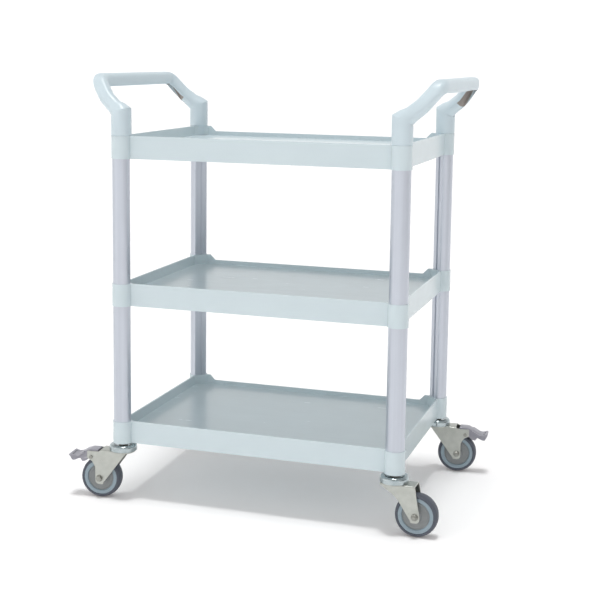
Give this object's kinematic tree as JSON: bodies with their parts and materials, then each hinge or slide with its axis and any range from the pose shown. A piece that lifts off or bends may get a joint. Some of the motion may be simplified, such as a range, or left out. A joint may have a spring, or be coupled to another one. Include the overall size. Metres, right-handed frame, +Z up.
{
  "type": "food service trolley",
  "caption": "Food service trolley with moulded plastic trays on aluminium posts, push handles at the ends and swivel castors, some with brake pedals.",
  "frame": {"origin": "on the floor under the centre of the trolley", "axes": "+X along the length towards the right handle, +Y across the width towards the lowered tray edges, +Z up"},
  "size_m": [0.9516, 0.547, 1.0335],
  "materials": {
    "moulded_plastic": "satin moulded polypropylene, pale aqua grey",
    "post_aluminium": "satin anodised extrusion",
    "zinc_steel": "bright zinc plated pressing",
    "bearing_cup": "bright zinc plated cup",
    "tyre_rubber": "dark grey thermoplastic rubber",
    "wheel_plastic": "grey moulded polypropylene",
    "pedal_paint": "grey painted pressing",
    "fastener_steel": "zinc plated",
    "ball_steel": "polished bearing steel",
    "insert_nylon": "black nylon",
    "bush_acetal": "off-white acetal"
  },
  "bodies": {
    "trolley": {"bottom_tray": "moulded_plastic", "middle_tray": "moulded_plastic", "top_tray": "moulded_plastic", "left_handle": "moulded_plastic", "right_handle": "moulded_plastic", "tie_rods": "fastener_steel", "tie_rod_nuts": "fastener_steel", "lower_post_front_left": "post_aluminium", "upper_post_front_left": "post_aluminium", "castor_plug_front_left": "insert_nylon", "castor_stem_front_left": "fastener_steel", "castor_head_front_left": "bearing_cup", "lower_post_front_right": "post_aluminium", "upper_post_front_right": "post_aluminium", "castor_plug_front_right": "insert_nylon", "castor_stem_front_right": "fastener_steel", "castor_head_front_right": "bearing_cup", "lower_post_back_left": "post_aluminium", "upper_post_back_left": "post_aluminium", "castor_plug_back_left": "insert_nylon", "castor_stem_back_left": "fastener_steel", "castor_head_back_left": "bearing_cup", "lower_post_back_right": "post_aluminium", "upper_post_back_right": "post_aluminium", "castor_plug_back_right": "insert_nylon", "castor_stem_back_right": "fastener_steel", "castor_head_back_right": "bearing_cup"},
    "swivel_front_left": {"castor_fork_front_left": "zinc_steel", "castor_balls_front_left": "ball_steel", "axle_bolt_front_left": "fastener_steel", "axle_nut_front_left": "fastener_steel", "brake_pin_front_left": "fastener_steel"},
    "wheel_front_left": {"wheel_core_front_left": "wheel_plastic", "tyre_front_left": "tyre_rubber", "wheel_bush_front_left": "bush_acetal"},
    "pedal_front_left": {"brake_pedal_front_left": "pedal_paint"},
    "swivel_front_right": {"castor_fork_front_right": "zinc_steel", "castor_balls_front_right": "ball_steel", "axle_bolt_front_right": "fastener_steel", "axle_nut_front_right": "fastener_steel"},
    "wheel_front_right": {"wheel_core_front_right": "wheel_plastic", "tyre_front_right": "tyre_rubber", "wheel_bush_front_right": "bush_acetal"},
    "swivel_back_left": {"castor_fork_back_left": "zinc_steel", "castor_balls_back_left": "ball_steel", "axle_bolt_back_left": "fastener_steel", "axle_nut_back_left": "fastener_steel"},
    "wheel_back_left": {"wheel_core_back_left": "wheel_plastic", "tyre_back_left": "tyre_rubber", "wheel_bush_back_left": "bush_acetal"},
    "swivel_back_right": {"castor_fork_back_right": "zinc_steel", "castor_balls_back_right": "ball_steel", "axle_bolt_back_right": "fastener_steel", "axle_nut_back_right": "fastener_steel", "brake_pin_back_right": "fastener_steel"},
    "wheel_back_right": {"wheel_core_back_right": "wheel_plastic", "tyre_back_right": "tyre_rubber", "wheel_bush_back_right": "bush_acetal"},
    "pedal_back_right": {"brake_pedal_back_right": "pedal_paint"}
  },
  "joints": [
    {"name": "swivel_front_left", "type": "hinge", "parent": "trolley", "child": "swivel_front_left", "pos_m": [-0.34, -0.24, 0.121], "axis": [0, 0, 1], "continuous": true},
    {"name": "spin_front_left", "type": "hinge", "parent": "swivel_front_left", "child": "wheel_front_left", "pos_m": [-0.39429, -0.24475, 0.05], "axis": [-0.0872, 0.9962, 0], "continuous": true},
    {"name": "brake_front_left", "type": "hinge", "parent": "swivel_front_left", "child": "pedal_front_left", "pos_m": [-0.41571, -0.24662, 0.102], "axis": [0.0872, -0.9962, 0], "range_deg": [0, 12]},
    {"name": "swivel_front_right", "type": "hinge", "parent": "trolley", "child": "swivel_front_right", "pos_m": [0.34, -0.24, 0.121], "axis": [0, 0, 1], "continuous": true},
    {"name": "spin_front_right", "type": "hinge", "parent": "swivel_front_right", "child": "wheel_front_right", "pos_m": [0.39447, -0.2419, 0.05], "axis": [-0.0349, -0.9994, 0], "continuous": true},
    {"name": "swivel_back_left", "type": "hinge", "parent": "trolley", "child": "swivel_back_left", "pos_m": [-0.34, 0.24, 0.121], "axis": [0, 0, 1], "continuous": true},
    {"name": "spin_back_left", "type": "hinge", "parent": "swivel_back_left", "child": "wheel_back_left", "pos_m": [-0.39447, 0.2419, 0.05], "axis": [0.0349, 0.9994, 0], "continuous": true},
    {"name": "swivel_back_right", "type": "hinge", "parent": "trolley", "child": "swivel_back_right", "pos_m": [0.34, 0.24, 0.121], "axis": [0, 0, 1], "continuous": true},
    {"name": "spin_back_right", "type": "hinge", "parent": "swivel_back_right", "child": "wheel_back_right", "pos_m": [0.39429, 0.24475, 0.05], "axis": [0.0872, -0.9962, 0], "continuous": true},
    {"name": "brake_back_right", "type": "hinge", "parent": "swivel_back_right", "child": "pedal_back_right", "pos_m": [0.41571, 0.24662, 0.102], "axis": [-0.0872, 0.9962, 0], "range_deg": [0, 12]}
  ]
}
